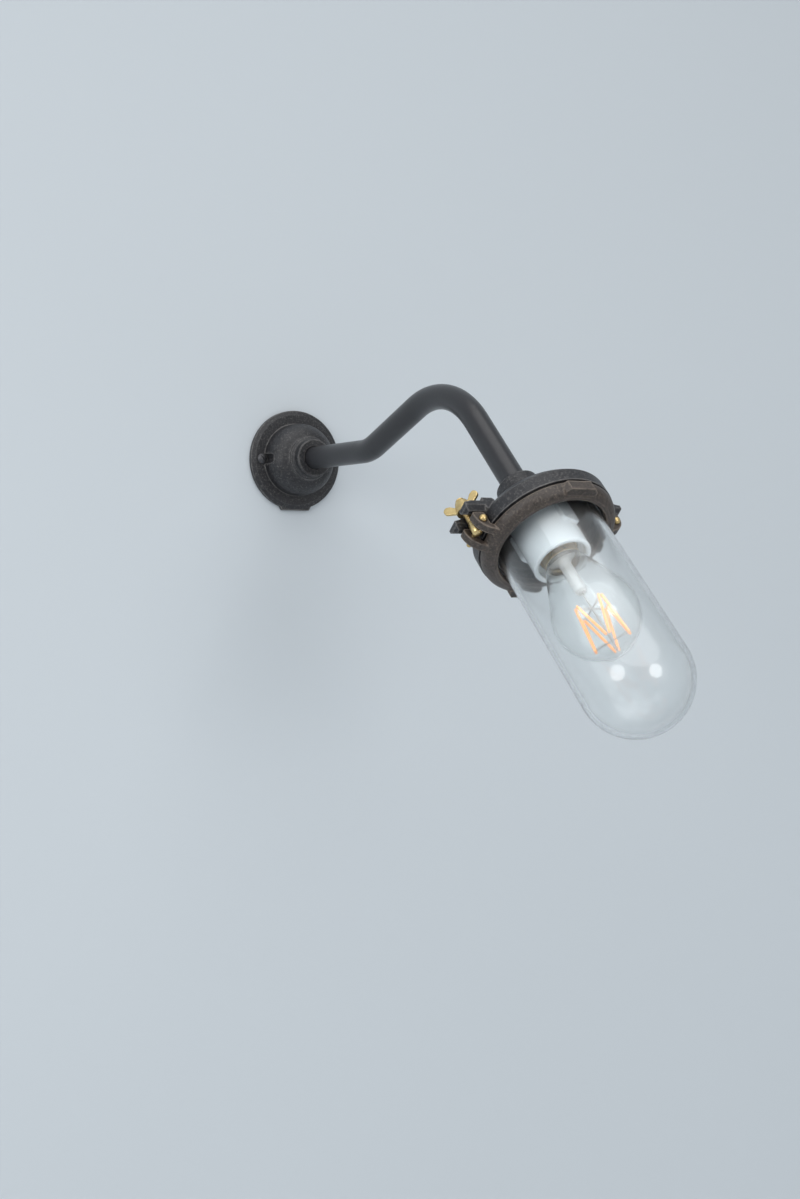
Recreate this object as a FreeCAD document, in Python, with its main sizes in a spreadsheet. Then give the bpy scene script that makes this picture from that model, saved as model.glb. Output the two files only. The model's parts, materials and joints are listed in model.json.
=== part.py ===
import FreeCAD, Part
import math
import os
import Sketcher

# Gooseneck wall sconce.  Millimetres, +Z up, wall plane at Y = 0, the lamp reaches out along -Y.
# The origin is the centre of the wall rose's back face.

doc = FreeCAD.newDocument("GooseneckSconce")
sheet = doc.addObject("Spreadsheet::Sheet", "Dims")


class Dim:
    """A size in millimetres together with the spreadsheet expression it comes from."""

    def __init__(self, value, text):
        self.value = float(value)
        self.text = text

    def join(self, other, sign, flip=False):
        other = other if isinstance(other, Dim) else Dim(other, repr(float(other)))
        first, second = (other, self) if flip else (self, other)
        text = "(%s %s %s)" % (first.text, sign, second.text)
        values = {"+": first.value + second.value, "-": first.value - second.value,
                  "*": first.value * second.value, "/": first.value / (second.value or 1.0)}
        return Dim(values[sign], text)

    def __add__(self, other):
        return self.join(other, "+")

    def __radd__(self, other):
        return self.join(other, "+", True)

    def __sub__(self, other):
        return self.join(other, "-")

    def __rsub__(self, other):
        return self.join(other, "-", True)

    def __mul__(self, other):
        return self.join(other, "*")

    def __rmul__(self, other):
        return self.join(other, "*", True)

    def __truediv__(self, other):
        return self.join(other, "/")

    def __neg__(self):
        return self.join(-1.0, "*")

    def __float__(self):
        return self.value


sheet_rows = []


def size(alias, value, note):
    """Write one driving dimension into the spreadsheet and return it."""
    row = len(sheet_rows) + 1
    sheet_rows.append(alias)
    sheet.set("A%d" % row, note)
    sheet.set("B%d" % row, repr(value))
    sheet.setAlias("B%d" % row, alias)
    return Dim(value, "Dims." + alias)


# ---- fits ------------------------------------------------------------------------------------
slide_fit = size("slide_fit", 0.05, "radial clearance of a sliding fit")
hole_fit = size("hole_fit", 0.3, "radial clearance of a screw hole")
ease = size("ease", 0.6, "chamfer that breaks a machined edge")

# ---- arm -------------------------------------------------------------------------------------
tube_rad = size("tube_rad", 9.5, "arm tube outside radius, 3/4 in conduit")
tube_wall = size("tube_wall", 1.6, "arm tube wall")
reach_one = size("reach_one", 132.6, "wall to the corner of the first bend")
reach_two = size("reach_two", 251.4, "wall to the corner of the top bend")
bend_one = size("bend_one", 57.0, "centre-line radius of the first bend")
bend_two = size("bend_two", 78.0, "centre-line radius of the top bend")
RISE_ANGLE = 21.67
DROOP_ANGLE = 44.27
WING_TURN = {"left": -50.0, "right": 38.0}
SLOT_TURN = -58.0
nut_wall = size("nut_wall", 4.0, "wall of the conduit lock nuts at their flats")
nut_height = size("nut_height", 4.0, "height of the conduit lock nuts")
nut_flats = tube_rad + nut_wall

# ---- wall rose -------------------------------------------------------------------------------
rose_rad = size("rose_rad", 42.9, "wall rose outside radius")
rose_bevel = size("rose_bevel", 3.7, "width of the rose's front bevel")
rose_edge = size("rose_edge", 3.2, "height of the rose's upright edge")
rose_plate = size("rose_plate", 5.0, "height of the rose's flat face")
dome_rad = size("dome_rad", 31.0, "rose dome radius")
dome_wall = size("dome_wall", 3.5, "rose dome wall")
dome_skirt = size("dome_skirt", 6.0, "height of the dome's upright skirt")
collar_wall = size("collar_wall", 6.5, "wall of the rose collar")
collar_top = size("collar_top", 39.0, "rose collar front face above the wall")
collar_length = size("collar_length", 6.6, "length of the collar in front of its step")
rose_seat = size("rose_seat", 24.0, "height of the lock nut's seat inside the rose")
nut_room = size("nut_room", 1.8, "room round the lock nut's corners")
foot_half = size("foot_half", 13.0, "half the width of the rose's drip foot")
foot_drop = size("foot_drop", 0.7, "drip foot below the rose's rim")
screw_step = size("screw_step", 2.5, "wall screw axis outside the dome")
wall_screw_rad = size("wall_screw_rad", 2.1, "wall screw thread radius")
wall_screw_head = size("wall_screw_head", 4.4, "wall screw head radius")
wall_screw_rise = size("wall_screw_rise", 3.4, "height of the wall screw head")
wall_screw_depth = size("wall_screw_depth", 26.0, "wall screw length behind the wall plane")
collar_rad = tube_rad + collar_wall
wall_screw_offset = dome_rad + screw_step

# ---- glass and its seals ---------------------------------------------------------------------
glass_rad = size("glass_rad", 38.5, "glass dome outside radius")
glass_wall = size("glass_wall", 3.5, "glass dome wall")
glass_length = size("glass_length", 134.7, "glass tube from the flange's top to its round end")
flange_width = size("flange_width", 7.5, "width of the glass flange")
flange_thick = size("flange_thick", 5.0, "glass flange thickness")
seal_thick = size("seal_thick", 2.0, "thickness of the upper gasket")
seal_skirt = size("seal_skirt", 1.5, "thickness of the upper gasket's skirt")
seal_low = size("seal_low", 1.4, "thickness of the lower gasket")
seal_room = size("seal_room", 0.4, "room round the gaskets")
seal_width = size("seal_width", 10.5, "width of the gasket seat")
flange_rad = glass_rad + flange_width
seal_bore = flange_rad + seal_skirt + seal_room + 0.1

# ---- head, measured along its axis from the corner of the top bend ---------------------------
cap_rim = size("cap_rim", 171.0, "lower edge of the cap rim")
cap_lip = size("cap_lip", 2.4, "thickness of the cap's lip")
cap_edge = size("cap_edge", 10.2, "height of the cap's upright rim")
seat_depth = size("seat_depth", 3.0, "depth of the gasket seat in the cap")
cap_depth = size("cap_depth", 24.0, "depth of the space inside the cap")
cavity_wall = size("cavity_wall", 11.0, "rim to the cavity's upright wall end")
cap_tall = size("cap_tall", 49.5, "height of the cap with its boss")
boss_wall = size("boss_wall", 6.0, "wall of the cap's tube boss")
boss_length = size("boss_length", 16.0, "straight length of the boss")
ring_gap = size("ring_gap", 1.6, "gap between the cap and the clamp ring")
ring_lip = size("ring_lip", 1.8, "thickness of the clamp ring's lip")
ring_floor = size("ring_floor", 5.2, "thickness of the clamp ring's face")
ring_clear = size("ring_clear", 2.0, "room between the clamp ring and the glass")
cap_rad = seal_bore + cap_lip
cap_shoulder = cap_rim - cap_edge
cap_seat = cap_rim - seat_depth
cap_inside = cap_rim - cap_depth
cap_cavity = seal_bore - seal_width
boss_rad = tube_rad + boss_wall
boss_top = cap_rim - cap_tall
glass_top = cap_seat + seal_thick
glass_end = glass_top + glass_length
flange_low = glass_top + flange_thick
ring_seat = flange_low + seal_low
ring_face = ring_seat + ring_floor
ring_top = cap_rim + ring_gap
ring_rad = seal_bore + ring_lip
ring_bore = glass_rad + ring_clear

# ---- clamps ----------------------------------------------------------------------------------
pin_rad = size("pin_rad", 1.6, "hinge pin radius")
pin_reach = size("pin_reach", 5.1, "hinge pin axis outside the cap rim")
pin_rise = size("pin_rise", 3.0, "hinge pin axis above the cap's lower edge")
pin_head = size("pin_head", 3.4, "height of the hinge pin's head")
bolt_rad = size("bolt_rad", 3.0, "swing bolt radius, M6")
bolt_collar = size("bolt_collar", 0.6, "how far the bolt's foot stands out from its thread")
bolt_spare = size("bolt_spare", 12.0, "swing bolt beyond the fork")
ear_gap = size("ear_gap", 1.4, "room between the bolt's foot and an ear")
ear_thick = size("ear_thick", 5.5, "ear thickness")
ear_rise = size("ear_rise", 6.7, "top of the ears above the hinge pin")
ear_reach = size("ear_reach", 5.4, "ears outside the hinge pin")
slot_gap = size("slot_gap", 0.9, "room between the bolt and a fork finger")
finger_width = size("finger_width", 9.6, "width of a fork finger")
finger_bevel = size("finger_bevel", 3.2, "bevel on a fork finger's long edges")
fork_rise = size("fork_rise", 18.0, "washer seat above the hinge pin")
fork_thick = size("fork_thick", 10.2, "thickness of the fork fingers")
fork_reach = size("fork_reach", 9.5, "fork fingers outside the hinge pin")
washer_width = size("washer_width", 3.4, "width of the washer's face")
washer_thick = size("washer_thick", 1.25, "washer thickness")
hub_wall = size("hub_wall", 2.6, "wall of the wing nut's hub at its base")
hub_height = size("hub_height", 7.6, "height of the wing nut's hub")
wing_reach = size("wing_reach", 10.0, "wing tips outside the bolt")
wing_rise = size("wing_rise", 10.6, "wing tips above the wing nut's base")
wing_thick = size("wing_thick", 2.4, "thickness of the wings")
pad_half = size("pad_half", 12.8, "half the width of the clamp ring's cast pads")
pad_out = size("pad_out", 0.8, "cast pads outside the clamp ring")
pin_offset = cap_rad + pin_reach
pin_level = cap_rim - pin_rise
bolt_eye = bolt_rad + bolt_collar
ear_inner = bolt_eye + ear_gap
ear_face = ear_inner + ear_thick
fork_slot = bolt_rad + slot_gap
fork_half = fork_slot + finger_width
fork_top = pin_level - fork_rise
fork_low = fork_top + fork_thick
fork_end = pin_offset + fork_reach
washer_rad = bolt_rad + washer_width
wing_span = bolt_rad + wing_reach

# ---- lampholder and bulb ---------------------------------------------------------------------
holder_gap = size("holder_gap", 9.0, "room between the cap's ceiling and the porcelain")
holder_length = size("holder_length", 43.0, "length of the porcelain")
holder_back = size("holder_back", 10.0, "thickness of the porcelain's back")
holder_wall = size("holder_wall", 6.9, "wall of the porcelain round the bulb cap's thread")
shell_wall = size("shell_wall", 0.6, "screw shell wall")
shell_gap = size("shell_gap", 0.3, "room between the screw shell and the porcelain")
shell_length = size("shell_length", 22.4, "length of the screw shell")
strap_thick = size("strap_thick", 1.6, "strap thickness")
strap_half = size("strap_half", 6.5, "half the width of the strap")
strap_screw_rad = size("strap_screw_rad", 2.0, "strap screw radius")
strap_screw_offset = size("strap_screw_offset", 27.0, "strap screw axis from the head axis")
holder_screw_rad = size("holder_screw_rad", 1.5, "lampholder screw radius")
holder_screw_offset = size("holder_screw_offset", 8.4, "lampholder screw axis from the head axis")
post_rad = size("post_rad", 5.0, "radius of the posts inside the cap")
contact_rise = size("contact_rise", 9.0, "bulb's end contact above the porcelain's floor")
bulb_cap_rad = size("bulb_cap_rad", 13.1, "bulb cap radius, E27")
bulb_cap_wall = size("bulb_cap_wall", 0.5, "bulb cap wall")
bulb_cap_length = size("bulb_cap_length", 24.6, "bulb cap from its end contact to its edge")
bulb_thread_gap = size("bulb_thread_gap", 0.2, "room between the bulb cap and the screw shell")
bulb_rad = size("bulb_rad", 29.8, "bulb radius, A60")
bulb_drop = size("bulb_drop", 75.0, "centre of the bulb's round part below its end contact")
bulb_wall = size("bulb_wall", 0.9, "bulb glass wall")
neck_flare = size("neck_flare", 2.5, "bulb neck outside its cap")
stem_rad = size("stem_rad", 4.2, "radius of the bulb's stem")
stem_length = size("stem_length", 28.6, "length of the stem below the cap's edge")
filament_ring = size("filament_ring", 12.5, "radius of the ring of filaments")
filament_rad = size("filament_rad", 0.95, "filament radius")
filament_top = size("filament_top", 67.0, "upper ends of the filaments below the end contact")
filament_length = size("filament_length", 31.2, "height of the ring of filaments")
FILAMENTS = 8
FILAMENT_SPREAD = 5.5
shell_rad = bulb_cap_rad + bulb_thread_gap
shell_out = shell_rad + shell_wall
holder_bore = shell_out + shell_gap
holder_rad = holder_bore + holder_wall
holder_top = cap_inside + holder_gap
holder_mouth = holder_top + holder_length
holder_floor = holder_top + holder_back
bulb_base = holder_floor + contact_rise
bulb_cap_end = bulb_base + bulb_cap_length
bulb_centre = bulb_base + bulb_drop

# ---- bows of the arcs: how far an arc stands out to the left of its chord, as a share of it ----
QUARTER_BOW = -(1.0 - math.sqrt(0.5)) / math.sqrt(2.0)
ROSE_BOW = -0.168
ROSE_INNER_BOW = 0.1646
BOSS_BOW = 0.2212
CAP_BOW = -0.0826
CAP_INNER_BOW = 0.1492
RING_BOW = -0.1414
EAR_BOW = -0.1955
WING_BOW = -0.3078

doc.recompute()

# ---- frames ----------------------------------------------------------------------------------
rise = math.radians(RISE_ANGLE)
droop = math.radians(DROOP_ANGLE)
top_corner = FreeCAD.Vector(0.0, -float(reach_two), (float(reach_two) - float(reach_one)) * math.tan(rise))
WORLD = FreeCAD.Placement()
ROSE = FreeCAD.Placement(FreeCAD.Vector(0, 0, 0), FreeCAD.Rotation(FreeCAD.Vector(1, 0, 0), 90.0))
HEAD = FreeCAD.Placement(top_corner, FreeCAD.Rotation(FreeCAD.Vector(1, 0, 0), 90.0 + DROOP_ANGLE))
parts = []


def part_body(label, frame):
    """Start the body of one sub-part in the frame it is drawn in."""
    body = doc.addObject("PartDesign::Body", label)
    body.Label = label
    body.Placement = frame
    parts.append(body)
    return body


def plane_of(body, role):
    """Return one of the body's own origin planes."""
    for feature in body.Origin.OriginFeatures:
        if feature.Role == role:
            return feature
    raise ValueError("no plane " + role)


def new_sketch(body, name, role, offset=0.0, turn=0.0):
    """Put a sketch on an origin plane, moved along the plane's normal and turned about its upright axis."""
    sketch = body.newObject("Sketcher::SketchObject", name)
    sketch.AttachmentSupport = (plane_of(body, role), [""])
    sketch.MapMode = "FlatFace"
    upright = FreeCAD.Rotation(FreeCAD.Vector(0, 1, 0), turn)
    sketch.AttachmentOffset = FreeCAD.Placement(FreeCAD.Vector(0, 0, float(offset)), upright)
    return sketch


def arc_middle(start, end, bulge):
    """Middle of an arc that stands out to the left of its chord by a share of the chord."""
    chord = end - start
    return start + chord * 0.5 + FreeCAD.Vector(-chord.y, chord.x, 0) * bulge


def outline(sketch, points):
    """Draw a closed outline.  A point is (x, y), or (x, y, bulge) for an arc that ends there."""
    place = [FreeCAD.Vector(float(p[0]), float(p[1]), 0) for p in points]
    first = sketch.GeometryCount
    count = len(points)
    ends = []
    for i in range(count):
        start, end = place[i], place[(i + 1) % count]
        bulge = points[(i + 1) % count][2:]
        if not bulge:
            sketch.addGeometry(Part.LineSegment(start, end), False)
            ends.append((1, 2))
            continue
        middle = arc_middle(start, end, bulge[0])
        left_turn = bulge[0] < 0
        arc = Part.Arc(start, middle, end) if left_turn else Part.Arc(end, middle, start)
        sketch.addGeometry(arc, False)
        ends.append((1, 2) if left_turn else (2, 1))
    for i in range(count):
        edge = first + i
        before = first + (i - 1) % count
        sketch.addConstraint(Sketcher.Constraint("Coincident", before, ends[i - 1][1], edge, ends[i][0]))
        tie(sketch, edge, ends[i][0], "X", points[i][0])
        tie(sketch, edge, ends[i][0], "Y", points[i][1])
        if points[(i + 1) % count][2:]:
            sketch.addConstraint(Sketcher.Constraint("Radius", edge, sketch.Geometry[edge].Radius))


def tie(sketch, edge, point, axis, value):
    """Tie one coordinate of a drawn point to a size."""
    if abs(float(value)) < 1e-9:
        other = -2 if axis == "X" else -1
        sketch.addConstraint(Sketcher.Constraint("PointOnObject", edge, point, other))
        return
    index = sketch.addConstraint(Sketcher.Constraint("Distance" + axis, -1, 1, edge, point, float(value)))
    if isinstance(value, Dim):
        sketch.setExpression("Constraints[%d]" % index, value.text)


def circle(sketch, x, y, radius):
    """Draw a circle whose centre and radius are tied to their sizes."""
    centre = FreeCAD.Vector(float(x), float(y), 0)
    edge = sketch.addGeometry(Part.Circle(centre, FreeCAD.Vector(0, 0, 1), float(radius)), False)
    tie(sketch, edge, 3, "X", x)
    tie(sketch, edge, 3, "Y", y)
    index = sketch.addConstraint(Sketcher.Constraint("Radius", edge, float(radius)))
    if isinstance(radius, Dim):
        sketch.setExpression("Constraints[%d]" % index, radius.text)


def bind(feature, prop, value):
    """Set a property from a size, as an expression where the size comes from the spreadsheet."""
    setattr(feature, prop, float(value))
    if isinstance(value, Dim):
        feature.setExpression(prop, value.text)


def lathe(body, name, points, cut=False):
    """Revolve an outline of (radius, height) points about the body's own Z axis."""
    sketch = new_sketch(body, name + "_outline", "XZ_Plane")
    outline(sketch, points)
    kind = "PartDesign::Groove" if cut else "PartDesign::Revolution"
    feature = body.newObject(kind, name)
    feature.Profile = sketch
    feature.ReferenceAxis = (sketch, ["V_Axis"])
    feature.Angle = 360.0
    sketch.Visibility = False
    return feature


def prism(body, name, sketch, length, cut=False, both=False, back=False):
    """Pad or pocket a sketch.  both centres it on the sketch plane, back sends it the other way."""
    feature = body.newObject("PartDesign::Pocket" if cut else "PartDesign::Pad", name)
    feature.Profile = sketch
    bind(feature, "Length", length)
    if both:
        feature.SideType = "Symmetric"
    feature.Reversed = back
    sketch.Visibility = False
    return feature


def mirror(body, name, features, role="YZ_Plane"):
    """Repeat features on the other side of an origin plane."""
    feature = body.newObject("PartDesign::Mirrored", name)
    feature.Originals = features
    feature.MirrorPlane = (plane_of(body, role), [""])
    body.Tip = feature
    return feature


def finish(body):
    """Recompute and stop at the first sub-part that did not come out as one or more valid solids."""
    doc.recompute()
    for feature in body.Group:
        if "Invalid" in feature.State or "Error" in feature.State:
            raise ValueError("%s / %s: %s" % (body.Label, feature.Label, feature.State))
    shape = body.Shape
    if shape.isNull() or not shape.isValid() or not shape.Solids:
        raise ValueError(body.Label + " has no valid solid")
    print("%-22s %2d solid(s) %10.1f mm3" % (body.Label, len(shape.Solids), shape.Volume))


def crown(radius, height):
    """Bulge of the arc of a domed head that meets its axis squarely."""
    rise_of_head = float(height)
    ball = (float(radius) ** 2 + rise_of_head ** 2) / (2.0 * rise_of_head)
    chord = math.hypot(float(radius), rise_of_head)
    return -(ball - math.sqrt(ball ** 2 - chord ** 2 / 4.0)) / chord


def box_outline(x0, x1, y0, y1):
    return [(x0, y0), (x1, y0), (x1, y1), (x0, y1)]


def hexagon(half_flats):
    """Corners of a hexagon, flats facing up and down."""
    slant = half_flats / math.cos(math.radians(30))
    turns = [math.radians(60 * i) for i in range(6)]
    return [(slant * math.cos(a), slant * math.sin(a)) for a in turns]


# ---- wall rose and its screws ----------------------------------------------------------------
def make_wall_rose():
    body = part_body("wall_rose", ROSE)
    bore = tube_rad + slide_fit
    inner = dome_rad - dome_wall
    step = collar_top - collar_length
    pocket = nut_flats / math.cos(math.radians(30)) + nut_room
    lathe(body, "casting", [
        (inner, 0), (rose_rad, 0), (rose_rad, rose_edge), (rose_rad - rose_bevel, rose_plate),
        (dome_rad, rose_plate), (dome_rad, rose_plate + dome_skirt), (collar_rad + 3.6, step - 5.0, ROSE_BOW),
        (collar_rad + 2.6, step - 4.2), (collar_rad + 2.6, step - 2.2), (collar_rad + ease, step - 1.0),
        (collar_rad, step), (collar_rad, collar_top - 0.8), (collar_rad - 0.8, collar_top),
        (tube_rad + ease, collar_top), (bore, collar_top - ease), (bore, rose_seat), (pocket, rose_seat),
        (inner, rose_plate + 5.0, ROSE_INNER_BOW)])
    foot = new_sketch(body, "foot_outline", "XY_Plane")
    low = -(rose_rad + foot_drop)
    root = -(rose_rad - 4.4)
    outline(foot, [(-foot_half, low), (foot_half, low), (foot_half + 3.0, root), (-foot_half - 3.0, root)])
    prism(body, "foot", foot, rose_edge)
    notch = new_sketch(body, "notch_outline", "XY_Plane", rose_plate)
    holes = new_sketch(body, "screw_hole_outline", "XY_Plane")
    for side in (-1.0, 1.0):
        circle(notch, wall_screw_offset * side, 0, wall_screw_head + 0.9)
        circle(holes, wall_screw_offset * side, 0, wall_screw_rad + hole_fit)
    prism(body, "notch", notch, dome_skirt + 8.0, cut=True, back=True)
    prism(body, "screw_holes", holes, rose_plate, cut=True, back=True)
    finish(body)


def make_wall_screws():
    """Two round-headed slotted wood screws."""
    body = part_body("wall_screws", ROSE)
    thread = new_sketch(body, "thread_outline", "XY_Plane", -wall_screw_depth)
    neck = new_sketch(body, "neck_outline", "XY_Plane")
    for side in (-1.0, 1.0):
        circle(thread, wall_screw_offset * side, 0, wall_screw_rad)
        circle(neck, wall_screw_offset * side, 0, wall_screw_rad + hole_fit / 2)
    prism(body, "threads", thread, wall_screw_depth)
    prism(body, "necks", neck, rose_plate)
    brim = rose_plate + 1.0
    top = rose_plate + wall_screw_rise
    bow = crown(wall_screw_head, wall_screw_rise - 1.0)
    for side, name in ((-1.0, "head_left"), (1.0, "head_right")):
        sketch = new_sketch(body, name + "_outline", "XZ_Plane")
        axis = wall_screw_offset * side
        edge = axis + wall_screw_head
        outline(sketch, [(axis, rose_plate), (edge, rose_plate), (edge, brim), (axis, top, bow)])
        head = body.newObject("PartDesign::Revolution", name)
        head.Profile = sketch
        head.ReferenceAxis = (sketch, ["Edge4"])
        head.Angle = 360.0
    slot = new_sketch(body, "slot_outline", "XY_Plane", top - 1.2)
    turn = math.radians(SLOT_TURN)
    long_x, long_y = (wall_screw_head + ease) * math.cos(turn), (wall_screw_head + ease) * math.sin(turn)
    wide_x, wide_y = -0.55 * math.sin(turn), 0.55 * math.cos(turn)
    for side in (-1.0, 1.0):
        axis = wall_screw_offset * side
        outline(slot, [(axis + long_x + wide_x, long_y + wide_y), (axis - long_x + wide_x, wide_y - long_y),
                       (axis - long_x - wide_x, -long_y - wide_y), (axis + long_x - wide_x, long_y - wide_y)])
    prism(body, "slots", slot, wall_screw_rise, cut=True, back=True)
    finish(body)


def lock_nut(label, frame, low):
    """Thin hexagonal conduit nut."""
    body = part_body(label, frame)
    sketch = new_sketch(body, "nut_outline", "XY_Plane", low)
    outline(sketch, hexagon(nut_flats))
    circle(sketch, 0, 0, tube_rad + slide_fit)
    prism(body, "nut", sketch, nut_height)
    finish(body)


# ---- arm -------------------------------------------------------------------------------------
def bend(corner, before, after, radius):
    """Start, middle and end of the arc that rounds a corner between two directions."""
    angle = before.getAngle(after)
    start = corner - before * (radius * math.tan(angle / 2))
    end = corner + after * (radius * math.tan(angle / 2))
    inward = after - before
    inward.normalize()
    middle = corner + inward * (radius / math.cos(angle / 2) - radius)
    return start, middle, end


def make_arm_tube():
    """Bent tube in the plane X = 0, drawn as (Y, Z)."""
    body = part_body("arm_tube", WORLD)
    out = FreeCAD.Vector(-1, 0, 0)
    up = FreeCAD.Vector(-math.cos(rise), math.sin(rise), 0)
    down = FreeCAD.Vector(-math.cos(droop), -math.sin(droop), 0)
    corner_one = FreeCAD.Vector(-reach_one.value, 0, 0)
    corner_two = FreeCAD.Vector(top_corner.y, top_corner.z, 0)
    first = bend(corner_one, out, up, bend_one.value)
    second = bend(corner_two, up, down, bend_two.value)
    tail = nut_height.value + 1.5
    start = FreeCAD.Vector(tail - rose_seat.value, 0, 0)
    end = corner_two + down * (cap_inside.value + tail - 0.5)
    path = new_sketch(body, "arm_path", "YZ_Plane")
    pieces = [Part.LineSegment(start, first[0]), Part.Arc(*first), Part.LineSegment(first[2], second[0]),
              Part.Arc(*second), Part.LineSegment(second[2], end)]
    path.addGeometry(pieces, False)
    section = new_sketch(body, "tube_section", "XZ_Plane", -start.x)
    circle(section, 0, 0, tube_rad)
    circle(section, 0, 0, tube_rad - tube_wall)
    tube = body.newObject("PartDesign::AdditivePipe", "tube")
    tube.Profile = section
    tube.Spine = path
    finish(body)


# ---- cap casting -----------------------------------------------------------------------------
def swing_arc(radius, start, end):
    """Height below the pin of two points on a circle about it, and the bulge of the arc that joins them."""
    heights = [math.sqrt(float(radius) ** 2 - float(offset) ** 2) for offset in (start, end)]
    chord = math.hypot(float(end) - float(start), heights[1] - heights[0])
    return heights[0], heights[1], (float(radius) - math.sqrt(float(radius) ** 2 - chord ** 2 / 4.0)) / chord


def make_cap_casting():
    body = part_body("cap_casting", HEAD)
    bore = tube_rad + slide_fit
    boss_foot = boss_top + boss_length
    lathe(body, "casting", [
        (bore, boss_top + ease), (tube_rad + ease, boss_top), (boss_rad - 1.0, boss_top),
        (boss_rad, boss_top + 1.0), (boss_rad, boss_foot), (boss_rad + 3.1, boss_foot + 3.8, BOSS_BOW),
        (cap_rad, cap_shoulder, CAP_BOW), (cap_rad, cap_rim), (seal_bore, cap_rim),
        (seal_bore, cap_seat), (cap_cavity, cap_seat), (cap_cavity, cap_rim - cavity_wall),
        (boss_rad + 8.5, cap_inside, CAP_INNER_BOW), (bore, cap_inside)])
    root = new_sketch(body, "fork_root_outline", "XZ_Plane")
    heel = cap_rad - 0.8
    outline(root, [(heel - 9.6, fork_top + 1.5), (heel - 8.1, fork_top), (heel, fork_top), (heel, fork_low),
                   (heel - 9.6, fork_low)])
    root_pad = prism(body, "fork_root", root, fork_half * 2.0, both=True)
    fingers = new_sketch(body, "finger_outline", "YZ_Plane", heel - 2.6)
    for side in (-1.0, 1.0):
        inner, outer = fork_slot * side, fork_half * side
        bevel = finger_bevel * side
        outline(fingers, [(inner, fork_top + ease), (inner + ease * side, fork_top), (outer - bevel, fork_top),
                          (outer, fork_top + finger_bevel), (outer, fork_low - finger_bevel),
                          (outer - bevel, fork_low), (inner + bevel, fork_low),
                          (inner, fork_low - finger_bevel)])
    finger_pad = prism(body, "fingers", fingers, fork_end - heel + 2.6)
    relief = new_sketch(body, "finger_relief_outline", "XZ_Plane")
    swing = fork_rise.value - 0.1
    near, far, bow = swing_arc(swing, 0.0, fork_reach + 2.5)
    beyond = fork_end + 2.5
    above = pin_level - fork_rise - 3.0
    outline(relief, [(pin_offset, above), (beyond, above), (beyond, pin_level - far),
                     (pin_offset, pin_level - near, -bow)])
    relief_cut = prism(body, "finger_relief", relief, fork_half * 3.0, cut=True, both=True)
    nose = new_sketch(body, "finger_nose_outline", "XZ_Plane")
    outline(nose, [(fork_end - 2.4, fork_low), (fork_end, fork_low - 2.4), (fork_end + 2.0, fork_low - 2.4),
                   (fork_end + 2.0, fork_low + 1.0), (fork_end - 2.4, fork_low + 1.0)])
    nose_cut = prism(body, "finger_nose", nose, fork_half * 3.0, cut=True, both=True)
    mirror(body, "other_fork", [root_pad, finger_pad, relief_cut, nose_cut])
    seat = holder_top - strap_thick
    posts = new_sketch(body, "post_outline", "XY_Plane", seat)
    drill = new_sketch(body, "post_hole_outline", "XY_Plane", seat)
    for side in (-1.0, 1.0):
        circle(posts, strap_screw_offset * side, 0, post_rad)
        circle(drill, strap_screw_offset * side, 0, strap_screw_rad + slide_fit)
    prism(body, "posts", posts, seat - cap_inside - 0.8, back=True)
    prism(body, "post_holes", drill, seat - cap_inside - 1.4, cut=True)
    finish(body)


# ---- gaskets, glass and clamp ring -----------------------------------------------------------
def make_gaskets():
    upper = part_body("gasket_upper", HEAD)
    rim = seal_bore - seal_room
    inside = rim - seal_skirt
    skirt_end = flange_low - 0.8
    lathe(upper, "gasket", [
        (cap_cavity + 0.8, cap_seat), (rim, cap_seat), (rim, skirt_end), (inside, skirt_end),
        (inside, glass_top), (cap_cavity + 0.8, glass_top)])
    finish(upper)
    lower = part_body("gasket_lower", HEAD)
    lathe(lower, "gasket", [(ring_bore + seal_room, flange_low), (rim, flange_low), (rim, ring_seat),
                            (ring_bore + seal_room, ring_seat)])
    finish(lower)


def make_glass_dome():
    body = part_body("glass_dome", HEAD)
    inner = glass_rad - glass_wall
    lathe(body, "glass", [
        (inner, glass_top), (flange_rad - 0.8, glass_top), (flange_rad, glass_top + 0.8),
        (flange_rad, flange_low - 0.8), (flange_rad - 0.8, flange_low), (glass_rad + 1.2, flange_low),
        (glass_rad, flange_low + 1.2), (glass_rad, glass_end), (0, glass_end + glass_rad, QUARTER_BOW),
        (0, glass_end + inner), (inner, glass_end, -QUARTER_BOW)])
    finish(body)


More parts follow.
